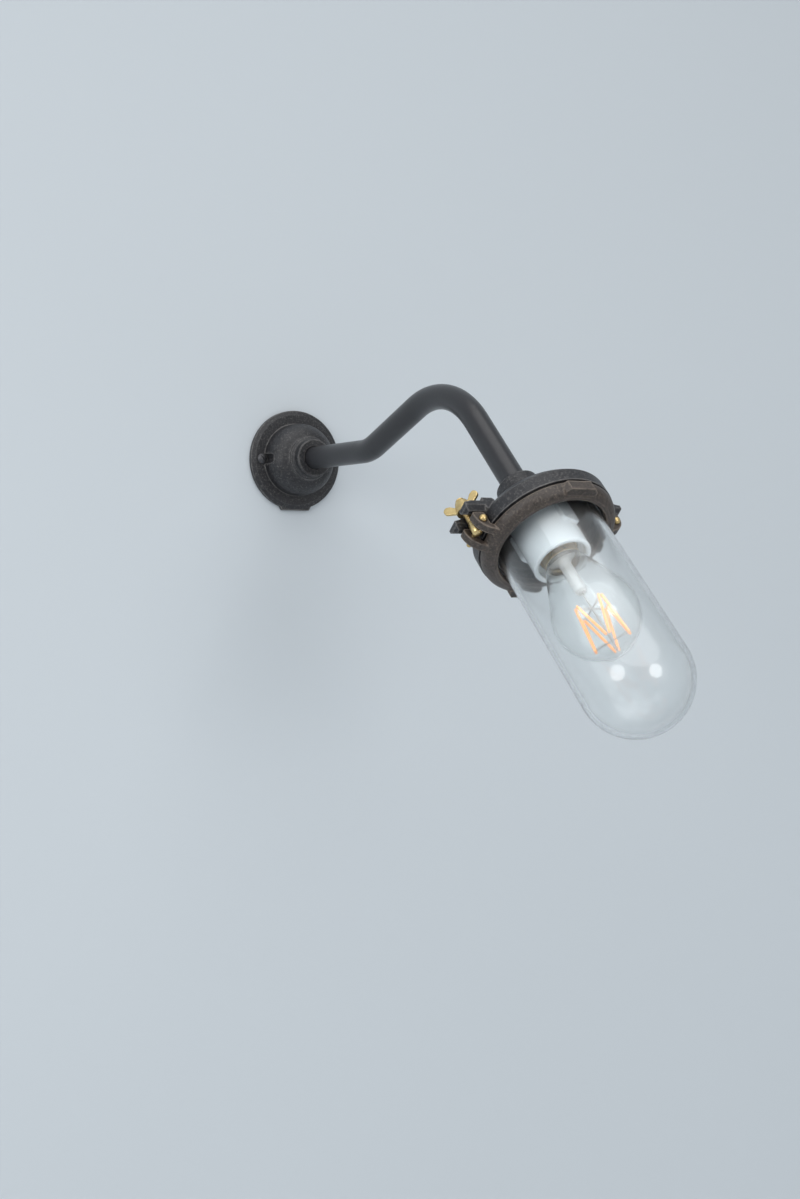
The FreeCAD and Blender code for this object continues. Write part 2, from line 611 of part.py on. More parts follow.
def make_clamp_ring():
    body = part_body("clamp_ring", HEAD)
    lathe(body, "casting", [
        (seal_bore, ring_top), (ring_rad - 0.4, ring_top), (ring_rad, ring_top + 0.4),
        (ring_rad, ring_top + 1.8), (ring_bore + 4.1, ring_face - ease, RING_BOW),
        (ring_bore + 2.9, ring_face), (ring_bore + ease, ring_face), (ring_bore, ring_face - ease),
        (ring_bore, ring_seat), (seal_bore, ring_seat)])
    pads = new_sketch(body, "pad_outline", "XY_Plane", ring_face - 0.5)
    out, waist, root = ring_rad + pad_out, ring_rad - 2.4, ring_bore + 4.0
    outline(pads, [(-pad_half, root), (pad_half, root), (pad_half, waist), (pad_half - 3.2, out),
                   (3.2 - pad_half, out), (-pad_half, waist)])
    outline(pads, [(-pad_half, -root), (-pad_half, -waist), (3.2 - pad_half, -out), (pad_half - 3.2, -out),
                   (pad_half, -waist), (pad_half, -root)])
    prism(body, "pads", pads, ring_face - ring_top - 1.1, back=True)
    clear = new_sketch(body, "pad_bore_outline", "XY_Plane", ring_top)
    circle(clear, 0, 0, seal_bore)
    prism(body, "pad_bore", clear, ring_seat - ring_top, cut=True, back=True)
    ears = []
    back, top = cap_rad + 0.9, pin_level - ear_rise
    tip = pin_offset + ear_reach
    for side, name in ((1.0, "ear_front"), (-1.0, "ear_back")):
        sketch = new_sketch(body, name + "_outline", "XZ_Plane", (ear_inner + ear_thick / 2.0) * -side)
        outline(sketch, [
            (back, top + 1.0), (back + 1.0, top), (tip - 0.9, top), (tip, top + 0.9),
            (ring_rad + 0.2, ring_seat + 0.6, EAR_BOW), (ring_bore + 2.5, ring_face - ease),
            (ring_bore + 2.5, ring_seat + 1.8), (seal_bore + 0.2, ring_seat + 0.6),
            (seal_bore + 0.2, ring_top + 0.8), (back, ring_top - 0.4)])
        ears.append(prism(body, name, sketch, ear_thick, both=True))
    bore = new_sketch(body, "pin_bore_outline", "XZ_Plane")
    circle(bore, pin_offset, pin_level, pin_rad + slide_fit)
    ears.append(prism(body, "pin_bore", bore, ear_face * 2.4, cut=True, both=True))
    mirror(body, "other_ears", ears)
    finish(body)


# ---- clamps: hinge pin, swing bolt, washer, wing nut -----------------------------------------
def clamp_frame(side):
    """Local frame of a clamp: Z along the swing bolt away from the pin, X outward, origin on the pin."""
    turn = 0.0 if side > 0 else 180.0
    local = FreeCAD.Placement(FreeCAD.Vector(side * pin_offset.value, 0, pin_level.value),
                              FreeCAD.Rotation(FreeCAD.Vector(0, 0, 1), turn))
    flip = FreeCAD.Placement(FreeCAD.Vector(0, 0, 0), FreeCAD.Rotation(FreeCAD.Vector(1, 0, 0), 180.0))
    return HEAD.multiply(local).multiply(flip)


def make_hinge_pin(name, side):
    """Round-headed pin; the head is on the upper ear."""
    frame = clamp_frame(side).multiply(
        FreeCAD.Placement(FreeCAD.Vector(0, 0, 0), FreeCAD.Rotation(FreeCAD.Vector(1, 0, 0), 90.0 * side)))
    body = part_body("hinge_pin_" + name, frame)
    brim, end = pin_rad + 1.3, -(ear_face + 4.1)
    lathe(body, "pin", [
        (0, end), (pin_rad - 0.5, end), (pin_rad, end + 0.5), (pin_rad, ear_face), (brim - 0.3, ear_face),
        (brim, ear_face + 0.5), (0, ear_face + pin_head, crown(brim, pin_head - 0.5))])
    finish(body)


def make_swing_bolt(name, side):
    body = part_body("swing_bolt_" + name, clamp_frame(side))
    top, foot = fork_rise + bolt_spare, -(pin_rad * 2.0)
    lathe(body, "bolt", [
        (0, foot), (bolt_eye - 0.9, foot), (bolt_eye, foot + 0.9), (bolt_eye, pin_rad + 4.0),
        (bolt_rad, pin_rad + 4.0 + bolt_collar * 1.33), (bolt_rad, top - 0.8), (bolt_rad - 0.8, top), (0, top)])
    eye = new_sketch(body, "pin_hole_outline", "XZ_Plane")
    circle(eye, 0, 0, pin_rad + slide_fit)
    prism(body, "pin_hole", eye, bolt_eye * 3.3, cut=True, both=True)
    finish(body)


def make_washer(name, side):
    body = part_body("washer_" + name, clamp_frame(side))
    seat, bore = fork_rise + slide_fit, bolt_rad + 0.15
    lathe(body, "washer", [(bore, seat), (washer_rad, seat), (washer_rad, seat + washer_thick),
                           (bore, seat + washer_thick)])
    finish(body)


def make_wing_nut(name, side, turn):
    """Wing nut, left turned by some degrees as it came to rest."""
    body = part_body("wing_nut_" + name, clamp_frame(side).multiply(
        FreeCAD.Placement(FreeCAD.Vector(0, 0, 0), FreeCAD.Rotation(FreeCAD.Vector(0, 0, 1), turn))))
    base = fork_rise + slide_fit + washer_thick
    bore, top, foot = bolt_rad + slide_fit, base + hub_height, bolt_rad + hub_wall
    lathe(body, "hub", [(bore, base), (foot, base), (foot, base + 1.4), (foot - 1.1, top), (bore, top)])
    wings = new_sketch(body, "wing_outline", "XZ_Plane")
    tips = base + wing_rise
    outline(wings, [
        (bolt_rad + ease, base + 0.8), (foot + 0.4, base + 0.9), (wing_span - 0.6, tips - 5.4),
        (wing_span - 2.4, tips, WING_BOW), (wing_span - 5.2, tips - 1.2),
        (foot - 0.6, top - 1.6), (bolt_rad + ease, top - 1.8)])
    wing = prism(body, "wing", wings, wing_thick, both=True)
    mirror(body, "other_wing", [wing])
    finish(body)


# ---- lampholder ------------------------------------------------------------------------------
def make_holder_strap():
    body = part_body("holder_strap", HEAD)
    sketch = new_sketch(body, "strap_outline", "XY_Plane", holder_top - strap_thick)
    end = strap_screw_offset + strap_screw_rad + 1.0
    middle = holder_screw_offset + holder_screw_rad + 1.6
    near, wide = middle + 0.5, middle + 4.5
    outline(sketch, [
        (-end, -strap_half), (-wide, -strap_half), (-near, -middle), (near, -middle), (wide, -strap_half),
        (end, -strap_half), (end, strap_half), (wide, strap_half), (near, middle), (-near, middle),
        (-wide, strap_half), (-end, strap_half)])
    circle(sketch, 0, 0, post_rad)
    for side in (-1.0, 1.0):
        circle(sketch, 0, holder_screw_offset * side, holder_screw_rad + slide_fit)
        circle(sketch, strap_screw_offset * side, 0, strap_screw_rad + hole_fit)
    prism(body, "strap", sketch, strap_thick)
    finish(body)


def screw_pair(label, centres, seat, shank, shank_rad, head):
    """Two pan-headed screws whose heads point away from the tube."""
    body = part_body(label, HEAD)
    stems = new_sketch(body, "shank_outline", "XY_Plane", seat)
    heads = new_sketch(body, "head_outline", "XY_Plane", seat)
    slots = new_sketch(body, "slot_outline", "XY_Plane", seat + head)
    long = shank_rad * 2.5
    for x, y in centres:
        circle(stems, x, y, shank_rad)
        circle(heads, x, y, shank_rad * 1.8)
        outline(slots, box_outline(x - long, x + long, y - 0.4, y + 0.4))
    prism(body, "shanks", stems, shank, back=True)
    prism(body, "heads", heads, head)
    prism(body, "slots", slots, 0.8, cut=True)
    finish(body)


def make_holder_body():
    """Porcelain with an open well for the bulb cap and two raised side panels."""
    body = part_body("holder_body", HEAD)
    hollow = post_rad - 1.0
    mouth = holder_bore + 3.2
    lip_floor = holder_mouth - 5.0
    lathe(body, "porcelain", [
        (hollow, holder_top), (holder_rad - 1.0, holder_top), (holder_rad, holder_top + 1.0),
        (holder_rad, holder_mouth - 1.0), (holder_rad - 1.0, holder_mouth), (mouth + 1.0, holder_mouth),
        (mouth, holder_mouth - 1.0), (mouth, lip_floor), (holder_bore, lip_floor - 1.6),
        (holder_bore, holder_floor), (hollow, holder_floor)])
    panel = new_sketch(body, "panel_outline", "XZ_Plane", turn=-18.0)
    wide, low, high = holder_rad * 0.4, holder_top + 2.0, holder_top + 23.5
    outline(panel, [(-wide, low), (wide, low), (wide, high - 2.5), (wide - 2.5, high, QUARTER_BOW),
                    (2.5 - wide, high), (-wide, high - 2.5, QUARTER_BOW)])
    prism(body, "panels", panel, holder_rad * 2.0 + 2.4, both=True)
    well = new_sketch(body, "well_outline", "XY_Plane", holder_floor)
    circle(well, 0, 0, holder_bore)
    prism(body, "well", well, holder_mouth - holder_floor, cut=True, back=True)
    drill = new_sketch(body, "screw_hole_outline", "XY_Plane", holder_floor)
    circle(drill, 0, holder_screw_offset, holder_screw_rad + hole_fit)
    circle(drill, 0, -holder_screw_offset, holder_screw_rad + hole_fit)
    circle(drill, 0, 0, hollow)
    prism(body, "screw_holes", drill, holder_back + 2.0, cut=True)
    finish(body)


def make_holder_metal():
    shell = part_body("holder_shell", HEAD)
    foot, lip = holder_floor + 3.0, shell_rad - 0.9
    edge = foot + shell_length
    lathe(shell, "shell", [(lip, foot), (shell_out, foot), (shell_out, edge), (shell_rad, edge),
                           (shell_rad, foot + shell_wall), (lip, foot + shell_wall)])
    finish(shell)
    contact = part_body("holder_contact", HEAD)
    sketch = new_sketch(contact, "contact_outline", "XZ_Plane")
    tip, leaf = bulb_base - slide_fit, 0.8
    outline(sketch, [
        (-9.5, holder_floor), (-3.0, holder_floor), (4.6, tip - leaf * 2.2), (4.6, tip), (-4.2, tip),
        (-4.2, tip - leaf), (3.4, tip - leaf), (-3.4, holder_floor + leaf), (-9.5, holder_floor + leaf)])
    prism(contact, "contact", sketch, holder_screw_offset * 2.0 - holder_screw_rad * 4.0 - 4.8, both=True)
    finish(contact)
    blocks = part_body("holder_terminals", HEAD)
    sketch = new_sketch(blocks, "block_outline", "XY_Plane", holder_top)
    near = holder_screw_offset + holder_screw_rad + 3.1
    outline(sketch, box_outline(-4.0, 4.0, near, near + 6.0))
    outline(sketch, box_outline(-4.0, 4.0, -near - 6.0, -near))
    prism(blocks, "blocks", sketch, 4.2, back=True)
    finish(blocks)


# ---- bulb ------------------------------------------------------------------------------------
def bulb_outline(shrink):
    """Neck, shoulder and round end of the bulb, shrunk inward for the inside surface."""
    radius = float(bulb_rad - shrink)
    neck = bulb_cap_rad + neck_flare - shrink
    drop = bulb_drop - bulb_cap_length - 5.4
    away = math.hypot(float(neck), float(drop))
    touch = math.atan2(float(neck), float(drop)) + math.acos(radius / away)
    sweep = math.pi - touch
    bow = -math.tan(sweep / 4.0) / 2.0
    return {"neck": (neck, bulb_cap_end + 5.4),
            "touch": ((bulb_rad - shrink) * math.sin(touch), bulb_centre - (bulb_rad - shrink) * math.cos(touch)),
            "end": (0, bulb_centre + bulb_rad - shrink), "bow": bow}


def make_bulb_glass():
    body = part_body("bulb_glass", HEAD)
    out, inn = bulb_outline(0.0), bulb_outline(bulb_wall)
    inside_cap = bulb_cap_rad - bulb_cap_wall - hole_fit
    start = bulb_cap_end - 6.0
    lathe(body, "envelope", [
        (inside_cap - bulb_wall, start), (inside_cap, start), (inside_cap, bulb_cap_end + 0.4),
        (inside_cap + 1.1, bulb_cap_end + 0.8), out["neck"], out["touch"], out["end"] + (out["bow"],),
        inn["end"], inn["touch"] + (-inn["bow"],), inn["neck"],
        (inside_cap + 0.3, bulb_cap_end + 1.6), (inside_cap - bulb_wall, bulb_cap_end + 0.6)])
    finish(body)


def make_bulb_cap():
    cap = part_body("bulb_cap", HEAD)
    inside = bulb_cap_rad - bulb_cap_wall
    lip, shoulder = bulb_base + 3.4, bulb_base + 6.4
    lathe(cap, "shell", [
        (bulb_cap_rad - 4.1, lip), (bulb_cap_rad - 2.9, lip), (bulb_cap_rad, shoulder),
        (bulb_cap_rad, bulb_cap_end), (inside, bulb_cap_end), (inside, shoulder + 0.2),
        (inside - 2.7, lip + bulb_cap_wall), (bulb_cap_rad - 4.1, lip + bulb_cap_wall)])
    finish(cap)
    insulator = part_body("bulb_insulator", HEAD)
    low, rim = bulb_base + 1.2, bulb_cap_rad - 4.3
    lathe(insulator, "disc", [(0, low), (rim - 3.2, low), (rim, lip), (rim, lip + 1.4), (0, lip + 1.4)])
    finish(insulator)
    tip = part_body("bulb_tip", HEAD)
    lathe(tip, "button", [(0, bulb_base), (4.0, bulb_base), (4.6, bulb_base + 0.5), (4.6, low), (0, low)])
    finish(tip)


def make_bulb_stem():
    body = part_body("bulb_stem", HEAD)
    flare = bulb_cap_rad - bulb_cap_wall - hole_fit - bulb_wall - 0.4
    start, end = bulb_cap_end - 5.4, bulb_cap_end + stem_length
    lathe(body, "flare", [
        (flare - 1.2, start), (flare, start), (flare, start + 1.0), (stem_rad + 1.0, start + 6.2),
        (stem_rad, start + 9.8), (stem_rad, end - 1.8), (stem_rad - 1.2, end), (0, end),
        (0, start + 9.2), (stem_rad - 1.4, start + 8.2), (stem_rad - 0.4, start + 5.2)])
    finish(body)


def rod(name, start, end, radius):
    """Round bar between two points given as (radius, degrees, height) about the head axis."""
    ends = [FreeCAD.Vector(float(r) * math.cos(math.radians(a)), float(r) * math.sin(math.radians(a)), float(z))
            for r, a, z in (start, end)]
    along = ends[1] - ends[0]
    bar = doc.addObject("Part::Cylinder", name)
    bind(bar, "Radius", radius)
    bar.Height = along.Length
    turn = FreeCAD.Rotation(FreeCAD.Vector(0, 0, 1), along)
    bar.Placement = HEAD.multiply(FreeCAD.Placement(ends[0], turn))
    bar.Visibility = False
    return bar


def group(label, bars):
    """Gather loose bars into one sub-part."""
    compound = doc.addObject("Part::Compound", label)
    compound.Label = label
    compound.Links = bars
    doc.recompute()
    parts.append(compound)
    print("%-22s %2d solid(s)" % (label, len(compound.Shape.Solids)))


def make_filaments():
    """Light filaments in a zigzag about the stem, and the wires that hold them."""
    top, low = bulb_base + filament_top, bulb_base + filament_top + filament_length
    stem_end = bulb_cap_end + stem_length
    mast = filament_rad * 0.53
    reach = filament_ring - filament_rad - 0.15
    filaments, wires = [], [rod("mast", (0, 0, stem_end), (0, 0, low - 0.6), mast)]
    step = 360.0 / FILAMENTS
    for i in range(FILAMENTS):
        gap = FILAMENT_SPREAD if i % 2 else -FILAMENT_SPREAD
        above = 2 * step * ((i + 1) // 2) - gap
        below = step + 2 * step * (i // 2) + gap
        filaments.append(rod("filament", (filament_ring, above, top), (filament_ring, below, low), filament_rad))
        wires.append(rod("top_wire", (mast, above, top + 1.0), (reach, above, top + 1.0), mast / 2.0))
        wires.append(rod("low_wire", (mast, below, low - 1.2), (reach, below, low - 1.2), mast / 2.0))
    group("bulb_filaments", filaments)
    group("bulb_wires", wires)


def main():
    make_wall_rose()
    make_wall_screws()
    lock_nut("rose_locknut", ROSE, rose_seat - nut_height)
    make_arm_tube()
    make_cap_casting()
    lock_nut("cap_locknut", HEAD, cap_inside)
    make_gaskets()
    make_glass_dome()
    make_clamp_ring()
    for name, side in (("left", -1), ("right", 1)):
        make_hinge_pin(name, side)
        make_swing_bolt(name, side)
        make_washer(name, side)
        make_wing_nut(name, side, WING_TURN[name])
    make_holder_strap()
    screw_pair("strap_screws", [(strap_screw_offset, 0), (-strap_screw_offset, 0)],
               holder_top, holder_top - cap_inside - 2.0, strap_screw_rad, 2.4)
    make_holder_body()
    screw_pair("holder_screws", [(0, holder_screw_offset), (0, -holder_screw_offset)],
               holder_floor, holder_back + strap_thick + 1.0, holder_screw_rad, 2.2)
    make_holder_metal()
    make_bulb_cap()
    make_bulb_glass()
    make_bulb_stem()
    make_filaments()
    doc.recompute()
    os.makedirs("parts", exist_ok=True)
    for item in parts:
        if "Invalid" in item.State or "Error" in item.State or not item.Shape.isValid():
            raise ValueError(item.Label + " did not build")
        item.Shape.exportStep("parts/%s.step" % item.Label)
    print(len(parts), "sub-parts written")


main()
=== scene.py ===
import json
import math

import bmesh
import bpy
from bpy.props import FloatProperty, FloatVectorProperty, IntProperty, PointerProperty
from mathutils import Matrix, Vector


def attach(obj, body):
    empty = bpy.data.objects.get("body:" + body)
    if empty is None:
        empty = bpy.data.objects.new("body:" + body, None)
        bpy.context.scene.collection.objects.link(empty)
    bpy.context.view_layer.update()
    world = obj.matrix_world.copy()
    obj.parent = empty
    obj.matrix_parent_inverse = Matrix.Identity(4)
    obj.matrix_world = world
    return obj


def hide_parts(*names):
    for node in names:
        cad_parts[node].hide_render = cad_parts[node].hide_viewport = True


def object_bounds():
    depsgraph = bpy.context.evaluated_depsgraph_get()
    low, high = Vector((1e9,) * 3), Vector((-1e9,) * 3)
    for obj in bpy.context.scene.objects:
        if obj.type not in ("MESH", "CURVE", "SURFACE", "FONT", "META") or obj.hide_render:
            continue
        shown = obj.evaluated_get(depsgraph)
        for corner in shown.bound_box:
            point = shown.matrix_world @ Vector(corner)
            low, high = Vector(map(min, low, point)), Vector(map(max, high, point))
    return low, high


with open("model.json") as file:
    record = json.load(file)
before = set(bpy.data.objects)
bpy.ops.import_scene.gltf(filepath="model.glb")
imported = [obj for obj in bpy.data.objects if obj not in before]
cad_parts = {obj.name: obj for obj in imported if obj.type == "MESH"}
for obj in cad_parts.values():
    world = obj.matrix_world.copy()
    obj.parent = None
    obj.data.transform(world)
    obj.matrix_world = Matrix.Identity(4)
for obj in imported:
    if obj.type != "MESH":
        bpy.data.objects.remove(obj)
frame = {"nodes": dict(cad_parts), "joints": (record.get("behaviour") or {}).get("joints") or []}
CAD_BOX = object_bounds()

bl_info = {
    "name": "Gooseneck Sconce Finishes",
    "version": (1, 0, 0),
    "blender": (4, 5, 0),
    "location": "View3D > Sidebar > Sconce",
    "description": "Threads, wing nuts, blown dome, finishes, wall, light and camera for a wall sconce",
    "category": "Add Mesh",
}

JOINTS = {joint["name"]: joint for joint in frame["joints"]}

# The head's own frame: its origin is the corner of the arm's top bend, Z runs towards the bulb.
BEND = (0.0, -0.2514, 0.0472)
HEAD_TILT = math.radians(134.27)
HEAD = Matrix.Translation(BEND) @ Matrix.Rotation(HEAD_TILT, 4, "X")

# Outlines of turned pieces: (radius, height) in millimetres. A swing bolt's heights start at its hinge pin,
# and those of the dome, the shell and the cap start at the origin of the head's frame.
BOLT_OUTLINE = [(0.0, -3.2), (2.7, -3.2), (3.6, -2.3), (3.6, 5.6), (3.0, 6.4), (3.0, 8.0), (3.0, 29.2),
                (2.2, 30.0), (0.0, 30.0)]
SHELL_OUTLINE = [(12.4, 169.0), (13.9, 169.0), (13.9, 170.0), (13.9, 190.6), (13.9, 191.4), (13.4, 191.4),
                 (13.4, 190.6), (13.4, 170.0), (13.4, 169.6), (12.4, 169.6)]
CAP_OUTLINE = [(9.0, 178.4), (10.2, 178.4), (13.1, 181.4), (13.1, 182.4), (13.1, 197.6), (13.1, 199.6),
               (12.6, 199.6), (12.6, 197.6), (12.6, 182.4), (12.6, 181.6), (9.9, 178.9), (9.0, 178.9)]
FLANGE_OUTLINE = [(35.0, 170.0), (45.2, 170.0), (46.0, 170.8), (46.0, 174.2), (45.2, 175.0), (39.7, 175.0),
                  (38.45, 176.2), (38.45, 177.2)]

# Heights in metres between which each thread runs, and the dome's radii and the centre of its round end.
BOLT_THREAD = (0.008, 0.0292)
SHELL_THREAD = (0.170, 0.1906)
CAP_THREAD = (0.1824, 0.1976)
DOME_OUTSIDE = 0.03845
DOME_INSIDE = 0.0350
DOME_END = 0.3047

WALL_GAP = 0.0006  # keeps the wall's paint off the rose's back face
WALL_WIDTH = 6.0
WALL_HEIGHT = 5.0
WALL_MIDDLE = 0.4
FLOOR_DEPTH = 5.0
FLOOR_DROP = 1.6

# Lengths under this count as nothing, and a thread has this many rings in each pitch.
TINY = 1e-9
STEPS_PER_PITCH = 10


# ---- sizes and colours a user would change ---------------------------------------------------
def colour(name, text, value):
    return FloatVectorProperty(name=name, description=text, subtype="COLOR", size=3, min=0.0, max=1.0,
                               default=value)


def length(name, text, value):
    return FloatProperty(name=name, description=text, default=value, min=0.0, precision=5,
                         subtype="DISTANCE", unit="LENGTH")


def share(name, text, value):
    return FloatProperty(name=name, description=text, default=value, min=0.0, max=1.0, subtype="FACTOR")


def spot(name, text, value):
    return FloatVectorProperty(name=name, description=text, size=3, subtype="TRANSLATION", unit="LENGTH",
                               default=value)


def angle(name, text, degrees):
    return FloatProperty(name=name, description=text, default=math.radians(degrees), subtype="ANGLE",
                         unit="ROTATION")


class SCONCE_PG_castings(bpy.types.PropertyGroup):
    """Painted iron of the rose and cap, and the brown patina of the clamp ring."""
    paint: colour("Paint", "Charcoal paint of the rose and the cap", (0.016, 0.016, 0.019))
    # Lighter colour of the worn edges and the grain's crests; it also paints a highlight on them.
    rubbed_and_highlighted: colour("Rubbed paint and edge highlight", "Paint on edges that are handled", (0.200, 0.192, 0.185))
    patina: colour("Patina", "Brown of the clamp ring", (0.050, 0.039, 0.033))
    # Lighter brown of the ring's worn edges; it also paints a highlight along them.
    patina_worn_and_highlighted: colour("Worn patina and edge highlight", "Lighter brown on the ring's edges", (0.260, 0.210, 0.168))
    grain: length("Grain", "Size of the sand-cast grain", 0.0008)
    relief: length("Grain relief", "Height of the sand-cast grain", 0.00026)
    edge: length("Edge radius", "Radius of the softened cast edges", 0.0010)
    roughness: share("Roughness", "How matt the castings are", 0.44)
    # Painted shade: how dark the pits of the grain are made.
    pit_shade: share("Pit shade", "How dark the pits of the grain are", 0.65)
    # Painted highlight: how far the crests of the grain are lightened.
    crest_highlight: share("Crest highlight", "How far the crests of the grain are rubbed", 0.34)
    # How strongly the painted edges are lightened: worn paint and a painted highlight together.
    paint_wear_and_highlight: FloatProperty(name="Paint wear", description="How far the painted edges are rubbed",
                              default=6.0, min=0.0)
    # How strongly the ring's edges are lightened: worn patina and a painted highlight together.
    patina_wear_and_highlight: FloatProperty(name="Patina wear", description="How far the ring's edges are rubbed",
                               default=7.0, min=0.0)


class SCONCE_PG_tube(bpy.types.PropertyGroup):
    """Powder coat of the bent arm."""
    coat: colour("Coat", "Charcoal powder coat", (0.021, 0.021, 0.024))
    ripple: length("Ripple", "Size of the powder coat's orange peel", 0.0011)
    roughness: share("Roughness", "How matt the coat is", 0.31)


class SCONCE_PG_brass(bpy.types.PropertyGroup):
    """Brass of the bolts, wing nuts, pins and contacts."""
    bright: colour("Bright", "Freshly rubbed brass", (0.80, 0.62, 0.30))
    tarnish: colour("Tarnish", "Brass that has dulled in the corners", (0.42, 0.29, 0.13))
    roughness: share("Roughness", "How matt the brightest brass is", 0.30)
    bolt_pitch: length("Bolt pitch", "Pitch of the swing bolt's thread", 0.0010)
    bolt_depth: length("Bolt thread depth", "Depth of the swing bolt's thread", 0.00055)
    nut_voxel: length("Casting detail", "Fineness of the cast wing nut's surface", 0.00030)


class SCONCE_PG_fixings(bpy.types.PropertyGroup):
    """Screws, lock nuts, strap and gaskets."""
    blackened: colour("Blackened steel", "Steel of the wall screws", (0.075, 0.075, 0.080))
    zinc: colour("Zinc", "Zinc plate of the strap, its screws and the lock nuts", (0.56, 0.57, 0.58))
    rubber: colour("Rubber", "Black rubber of the gaskets", (0.016, 0.016, 0.017))
    chalky: colour("Chalky rubber", "Rubber that has gone grey", (0.034, 0.034, 0.036))


class SCONCE_PG_holder(bpy.types.PropertyGroup):
    """Glazed porcelain and the screw shell in it."""
    glaze: colour("Glaze", "Cool white of the glazed porcelain", (0.53, 0.58, 0.61))
    speck: colour("Speck", "Fine grey specks under the glaze", (0.43, 0.47, 0.49))
    shell_pitch: length("Shell pitch", "Pitch of the lampholder's rolled thread", 0.00362)
    shell_depth: length("Shell thread depth", "Depth of the lampholder's rolled thread", 0.0006)


class SCONCE_PG_glass(bpy.types.PropertyGroup):
    """Clear glass of the dome, the bulb and its stem."""
    tint: colour("Tint", "Faint cool tint of the glass", (0.975, 0.99, 0.99))
    index: FloatProperty(name="Index", description="Refractive index of the glass", default=1.38, min=1.0,
                         max=2.0)
    shade: share("Shadow", "Share of the light that passes to what is behind the glass", 0.93)
    bloom: share("Bloom", "Soft haze of reflected light on the glass", 0.60)


class SCONCE_PG_bulb(bpy.types.PropertyGroup):
    """Filament bulb, unlit."""
    phosphor: colour("Phosphor", "Orange phosphor coat of the filaments", (1.0, 0.43, 0.16))
    # Painted glow: the unlit phosphor is given emission so that it looks lit.
    painted_glow: share("Painted glow", "Light that the phosphor gives back", 0.34)
    cap_metal: colour("Cap metal", "Warm plating of the screw cap", (0.66, 0.53, 0.34))
    wire: colour("Wire", "Wires that carry the filaments", (0.50, 0.49, 0.47))
    solder: colour("Solder", "Solder of the end contact", (0.60, 0.60, 0.60))
    black_glass: colour("Black glass", "Insulator round the end contact", (0.02, 0.02, 0.022))
    cap_pitch: length("Cap pitch", "Pitch of the cap's rolled thread", 0.00362)
    cap_depth: length("Cap thread depth", "Depth of the cap's rolled thread", 0.0008)


class SCONCE_PG_stage(bpy.types.PropertyGroup):
    """Wall, floor, lamps and camera."""
    wall: colour("Wall", "Pale blue-grey wall", (0.610, 0.655, 0.690))
    floor: colour("Floor", "Pale floor", (0.60, 0.63, 0.66))
    key: FloatProperty(name="Key", description="Strength of the wide soft light from above", default=1.65,
                       min=0.0)
    key_place: spot("Key's place", "Where the key light shines from", (-0.35, -0.90, 1.40))
    key_spread: angle("Key's spread", "Width of the key light seen from the part", 72.0)
    fill: FloatProperty(name="Fill", description="Power of the soft lamp at the left", default=8.0, min=0.0,
                        unit="POWER")
    fill_place: spot("Fill's place", "Where the lamp at the left hangs", (-1.60, -0.90, 0.25))
    fill_size: length("Fill's size", "Width of the lamp at the left", 0.9)
    front: FloatProperty(name="Front", description="Power of the soft lamp in front", default=6.0, min=0.0,
                         unit="POWER")
    front_place: spot("Front's place", "Where the lamp in front hangs", (0.05, -1.90, 0.30))
    front_size: length("Front's size", "Width of the lamp in front", 0.7)
    sky: FloatProperty(name="Sky", description="Strength of the even light all round", default=0.42, min=0.0)
    sky_tint: colour("Sky's tint", "Colour of the even light", (0.93, 0.97, 1.0))
    azimuth: angle("Azimuth", "Camera's angle about the upright axis", -30.949)
    elevation: angle("Elevation", "Camera's angle above the horizon", 0.866)
    lens: FloatProperty(name="Lens", description="Camera's focal length", default=50.27, min=1.0,
                        unit="CAMERA")
    place: spot("Place", "Where the camera stands", (-0.6723, -1.3011, -0.0992))


class SCONCE_PG_all(bpy.types.PropertyGroup):
    """All the settings of the sconce."""
    castings: PointerProperty(type=SCONCE_PG_castings, name="Castings", description="Painted iron")
    tube: PointerProperty(type=SCONCE_PG_tube, name="Tube", description="Powder coat of the arm")
    brass: PointerProperty(type=SCONCE_PG_brass, name="Brass", description="Bolts, nuts and pins")
    fixings: PointerProperty(type=SCONCE_PG_fixings, name="Fixings", description="Screws and gaskets")
    holder: PointerProperty(type=SCONCE_PG_holder, name="Lampholder", description="Porcelain and shell")
    glass: PointerProperty(type=SCONCE_PG_glass, name="Glass", description="Dome, bulb and stem")
    bulb: PointerProperty(type=SCONCE_PG_bulb, name="Bulb", description="Filament bulb")
    stage: PointerProperty(type=SCONCE_PG_stage, name="Stage", description="Wall, lamps and camera")
    sides: IntProperty(name="Sides", description="Sides of a turned piece", default=48, min=12, max=128)


# ---- shader maths ----------------------------------------------------------------------------
class Signal:
    """A shader socket; Python's operators on it add Math nodes."""

    def __init__(self, finish, socket):
        self.finish = finish
        self.socket = socket

    def maths(self, operation, first, second):
        return self.finish.add("ShaderNodeMath", {"operation": operation}, {0: first, 1: second})

    def __add__(self, other):
        return self.maths("ADD", self, other)

    __radd__ = __add__

    def __sub__(self, other):
        return self.maths("SUBTRACT", self, other)

    def __rsub__(self, other):
        return self.maths("SUBTRACT", other, self)

    def __mul__(self, other):
        return self.maths("MULTIPLY", self, other)

    def about_middle(self, spread):
        """The signal with its middle moved to 0, times the spread."""
        return (self - 0.5) * spread

    def clamped(self):
        return self.finish.add("ShaderNodeClamp", {}, {"Value": self})


